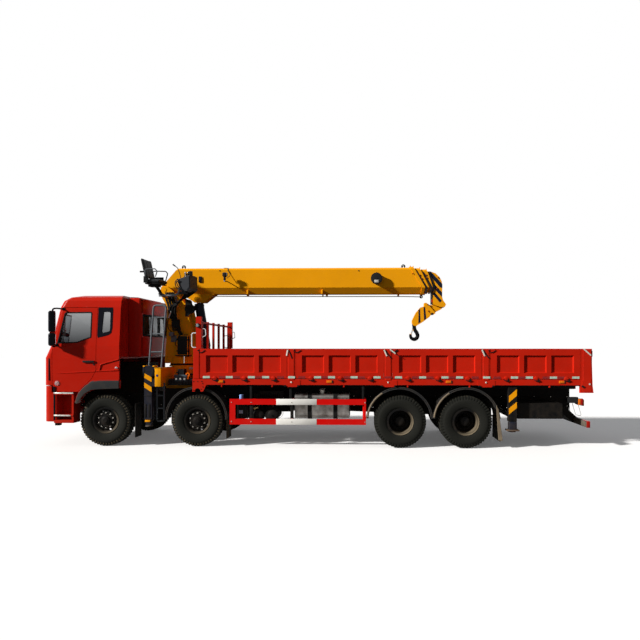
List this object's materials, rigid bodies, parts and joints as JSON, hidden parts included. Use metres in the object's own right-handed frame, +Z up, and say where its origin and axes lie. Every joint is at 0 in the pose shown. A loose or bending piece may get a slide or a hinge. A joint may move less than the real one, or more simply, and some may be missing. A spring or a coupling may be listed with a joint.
{
  "type": "truck-mounted crane",
  "caption": "Drop-side lorry with a forward-control tilting cab, a telescopic boom crane behind the cab, stabiliser legs, hinged side gates and a tailgate.",
  "frame": {"origin": "on the ground under the middle of the overall length and width", "axes": "-X towards the cab (the direction of travel), -Y the driver's side, +Z up"},
  "size_m": [11.507, 2.9946, 3.995],
  "materials": {
    "chassis_black": "satin",
    "cab_red": "gloss",
    "bed_red": "gloss",
    "crane_yellow": "gloss",
    "cylinder_navy": "gloss",
    "cast_dark": "rough",
    "guard_black": "matte",
    "tank_aluminium": "satin",
    "tyre": "matte",
    "window_glass": "clear",
    "interior": "matte",
    "chrome_rod": "polished",
    "station_grey": "satin"
  },
  "bodies": {
    "truck": {"chassis_frame": "chassis_black", "engine": "cast_dark", "front_axles": "cast_dark", "rear_axles": "cast_dark", "front_bumper": "cab_red", "mudguards": "guard_black", "side_guards": "bed_red", "fuel_tank": "tank_aluminium", "side_equipment": "chassis_black", "bed_frame": "bed_red", "rear_outrigger": "chassis_black", "rear_underrun": "chassis_black", "crane_base": "crane_yellow"},
    "cab": {"cab_floor": "cab_red", "cab_sides": "cab_red", "cab_rear_wall": "cab_red", "cab_roof": "cab_red", "cab_front": "cab_red", "cab_glass": "window_glass", "cab_interior": "interior"},
    "column": {"slewing_column": "crane_yellow", "operator_station": "station_grey"},
    "boom": {"boom_base": "crane_yellow"},
    "boom_2": {"boom_section_2": "crane_yellow"},
    "boom_3": {"boom_section_3": "crane_yellow"},
    "boom_4": {"boom_section_4": "crane_yellow"},
    "hook": {"hook_block": "crane_yellow"},
    "lift_barrel": {"lift_barrel": "cylinder_navy"},
    "lift_rod": {"lift_rod": "chrome_rod"},
    "tailgate": {"tailgate": "bed_red"},
    "knuckle_1_left": {"knuckle_1_left": "cast_dark"},
    "knuckle_2_left": {"knuckle_2_left": "cast_dark"},
    "wheel_1_left": {"wheel_1_left": "tyre"},
    "wheel_2_left": {"wheel_2_left": "tyre"},
    "wheel_3_left": {"wheel_3_left": "tyre"},
    "wheel_4_left": {"wheel_4_left": "tyre"},
    "knuckle_1_right": {"knuckle_1_right": "cast_dark"},
    "knuckle_2_right": {"knuckle_2_right": "cast_dark"},
    "wheel_1_right": {"wheel_1_right": "tyre"},
    "wheel_2_right": {"wheel_2_right": "tyre"},
    "wheel_3_right": {"wheel_3_right": "tyre"},
    "wheel_4_right": {"wheel_4_right": "tyre"},
    "door_left": {"door_left": "cab_red", "door_glass_left": "window_glass"},
    "door_right": {"door_right": "cab_red", "door_glass_right": "window_glass"},
    "outrigger_beam_left": {"outrigger_beam_left": "chassis_black"},
    "outrigger_leg_left": {"outrigger_leg_left": "chassis_black"},
    "rear_leg_left": {"rear_leg_left": "chassis_black"},
    "gate_1_left": {"gate_1_left": "bed_red"},
    "gate_2_left": {"gate_2_left": "bed_red"},
    "gate_3_left": {"gate_3_left": "bed_red"},
    "gate_4_left": {"gate_4_left": "bed_red"},
    "outrigger_beam_right": {"outrigger_beam_right": "chassis_black"},
    "outrigger_leg_right": {"outrigger_leg_right": "chassis_black"},
    "rear_leg_right": {"rear_leg_right": "chassis_black"},
    "gate_1_right": {"gate_1_right": "bed_red"},
    "gate_2_right": {"gate_2_right": "bed_red"},
    "gate_3_right": {"gate_3_right": "bed_red"},
    "gate_4_right": {"gate_4_right": "bed_red"}
  },
  "joints": [
    {"name": "steer_1_left", "type": "hinge", "parent": "truck", "child": "knuckle_1_left", "pos_m": [-4.3835, -0.89, 0.5425], "axis": [0, 0, 1], "range_deg": [-36, 36]},
    {"name": "steer_2_left", "type": "hinge", "parent": "truck", "child": "knuckle_2_left", "pos_m": [-2.4335, -0.89, 0.5425], "axis": [0, 0, 1], "range_deg": [-26, 26]},
    {"name": "spin_1_left", "type": "hinge", "parent": "knuckle_1_left", "child": "wheel_1_left", "pos_m": [-4.3835, -1.02, 0.5425], "axis": [0, 1, 0], "continuous": true},
    {"name": "spin_2_left", "type": "hinge", "parent": "knuckle_2_left", "child": "wheel_2_left", "pos_m": [-2.4335, -1.02, 0.5425], "axis": [0, 1, 0], "continuous": true},
    {"name": "spin_3_left", "type": "hinge", "parent": "truck", "child": "wheel_3_left", "pos_m": [1.8165, -1.02, 0.5425], "axis": [0, 1, 0], "continuous": true},
    {"name": "spin_4_left", "type": "hinge", "parent": "truck", "child": "wheel_4_left", "pos_m": [3.1665, -1.02, 0.5425], "axis": [0, 1, 0], "continuous": true},
    {"name": "steer_1_right", "type": "hinge", "parent": "truck", "child": "knuckle_1_right", "pos_m": [-4.3835, 0.89, 0.5425], "axis": [0, 0, 1], "range_deg": [-36, 36]},
    {"name": "steer_2_right", "type": "hinge", "parent": "truck", "child": "knuckle_2_right", "pos_m": [-2.4335, 0.89, 0.5425], "axis": [0, 0, 1], "range_deg": [-26, 26]},
    {"name": "spin_1_right", "type": "hinge", "parent": "knuckle_1_right", "child": "wheel_1_right", "pos_m": [-4.3835, 1.02, 0.5425], "axis": [0, 1, 0], "continuous": true},
    {"name": "spin_2_right", "type": "hinge", "parent": "knuckle_2_right", "child": "wheel_2_right", "pos_m": [-2.4335, 1.02, 0.5425], "axis": [0, 1, 0], "continuous": true},
    {"name": "spin_3_right", "type": "hinge", "parent": "truck", "child": "wheel_3_right", "pos_m": [1.8165, 1.02, 0.5425], "axis": [0, 1, 0], "continuous": true},
    {"name": "spin_4_right", "type": "hinge", "parent": "truck", "child": "wheel_4_right", "pos_m": [3.1665, 1.02, 0.5425], "axis": [0, 1, 0], "continuous": true},
    {"name": "cab_tilt", "type": "hinge", "parent": "truck", "child": "cab", "pos_m": [-5.6335, 0, 1.15], "axis": [0, -1, 0], "range_deg": [0, 50]},
    {"name": "door_left_hinge", "type": "hinge", "parent": "cab", "child": "door_left", "pos_m": [-5.4675, -1.226, 1.67], "axis": [0, 0, -1], "range_deg": [0, 70]},
    {"name": "door_right_hinge", "type": "hinge", "parent": "cab", "child": "door_right", "pos_m": [-5.4675, 1.226, 1.67], "axis": [0, 0, 1], "range_deg": [0, 70]},
    {"name": "slew", "type": "hinge", "parent": "truck", "child": "column", "pos_m": [-3.0835, 0, 1.722], "axis": [0, 0, 1], "continuous": true},
    {"name": "luff", "type": "hinge", "parent": "column", "child": "boom", "pos_m": [-3.4835, 0, 3.39], "axis": [0, -1, 0], "range_deg": [0, 75]},
    {"name": "lift_barrel_tilt", "type": "hinge", "parent": "column", "child": "lift_barrel", "pos_m": [-2.5835, 0, 1.96], "axis": [0, -1, 0], "range_deg": [0, 5]},
    {"name": "lift_rod_slide", "type": "slide", "parent": "lift_barrel", "child": "lift_rod", "axis": [-0.1683, 0, 0.9857], "range_m": [0, 0.8661]},
    {"name": "telescope_2", "type": "slide", "parent": "boom", "child": "boom_2", "axis": [1, 0, 0], "range_m": [0, 3.7]},
    {"name": "telescope_3", "type": "slide", "parent": "boom_2", "child": "boom_3", "axis": [1, 0, 0], "range_m": [0, 3.7]},
    {"name": "telescope_4", "type": "slide", "parent": "boom_3", "child": "boom_4", "axis": [1, 0, 0], "range_m": [0, 3.7]},
    {"name": "hook_swing", "type": "hinge", "parent": "boom_4", "child": "hook", "pos_m": [2.8485, 0, 3.05], "axis": [0, -1, 0], "range_deg": [-20, 40]},
    {"name": "outrigger_left_out", "type": "slide", "parent": "truck", "child": "outrigger_beam_left", "axis": [0, -1, 0], "range_m": [0, 1.5]},
    {"name": "outrigger_left_down", "type": "slide", "parent": "outrigger_beam_left", "child": "outrigger_leg_left", "axis": [0, 0, -1], "range_m": [0, 0.42]},
    {"name": "rear_leg_left_down", "type": "slide", "parent": "truck", "child": "rear_leg_left", "axis": [0, 0, -1], "range_m": [0, 0.34]},
    {"name": "gate_1_left_hinge", "type": "hinge", "parent": "truck", "child": "gate_1_left", "pos_m": [-1.439, -1.245, 1.44], "axis": [1, 0, 0], "range_deg": [0, 180]},
    {"name": "gate_2_left_hinge", "type": "hinge", "parent": "truck", "child": "gate_2_left", "pos_m": [0.566, -1.245, 1.44], "axis": [1, 0, 0], "range_deg": [0, 180]},
    {"name": "gate_3_left_hinge", "type": "hinge", "parent": "truck", "child": "gate_3_left", "pos_m": [2.571, -1.245, 1.44], "axis": [1, 0, 0], "range_deg": [0, 180]},
    {"name": "gate_4_left_hinge", "type": "hinge", "parent": "truck", "child": "gate_4_left", "pos_m": [4.576, -1.245, 1.44], "axis": [1, 0, 0], "range_deg": [0, 180]},
    {"name": "outrigger_right_out", "type": "slide", "parent": "truck", "child": "outrigger_beam_right", "axis": [0, 1, 0], "range_m": [0, 1.5]},
    {"name": "outrigger_right_down", "type": "slide", "parent": "outrigger_beam_right", "child": "outrigger_leg_right", "axis": [0, 0, -1], "range_m": [0, 0.42]},
    {"name": "rear_leg_right_down", "type": "slide", "parent": "truck", "child": "rear_leg_right", "axis": [0, 0, -1], "range_m": [0, 0.34]},
    {"name": "gate_1_right_hinge", "type": "hinge", "parent": "truck", "child": "gate_1_right", "pos_m": [-1.439, 1.245, 1.44], "axis": [1, 0, 0], "range_deg": [-180, 0]},
    {"name": "gate_2_right_hinge", "type": "hinge", "parent": "truck", "child": "gate_2_right", "pos_m": [0.566, 1.245, 1.44], "axis": [1, 0, 0], "range_deg": [-180, 0]},
    {"name": "gate_3_right_hinge", "type": "hinge", "parent": "truck", "child": "gate_3_right", "pos_m": [2.571, 1.245, 1.44], "axis": [1, 0, 0], "range_deg": [-180, 0]},
    {"name": "gate_4_right_hinge", "type": "hinge", "parent": "truck", "child": "gate_4_right", "pos_m": [4.576, 1.245, 1.44], "axis": [1, 0, 0], "range_deg": [-180, 0]},
    {"name": "tailgate_hinge", "type": "hinge", "parent": "truck", "child": "tailgate", "pos_m": [5.7415, 0, 1.44], "axis": [0, 1, 0], "range_deg": [0, 180]}
  ],
  "couplings": [
    {"joint": "steer_2_left", "follows": "steer_1_left", "ratio": 0.72},
    {"joint": "steer_1_right", "follows": "steer_1_left", "ratio": 1},
    {"joint": "steer_2_right", "follows": "steer_1_left", "ratio": 0.72},
    {"joint": "lift_barrel_tilt", "follows": "luff", "ratio": 0.06395},
    {"joint": "lift_rod_slide", "follows": "luff", "m_per_rad": 0.66009},
    {"joint": "telescope_3", "follows": "telescope_2", "ratio": 1},
    {"joint": "telescope_4", "follows": "telescope_2", "ratio": 1}
  ]
}
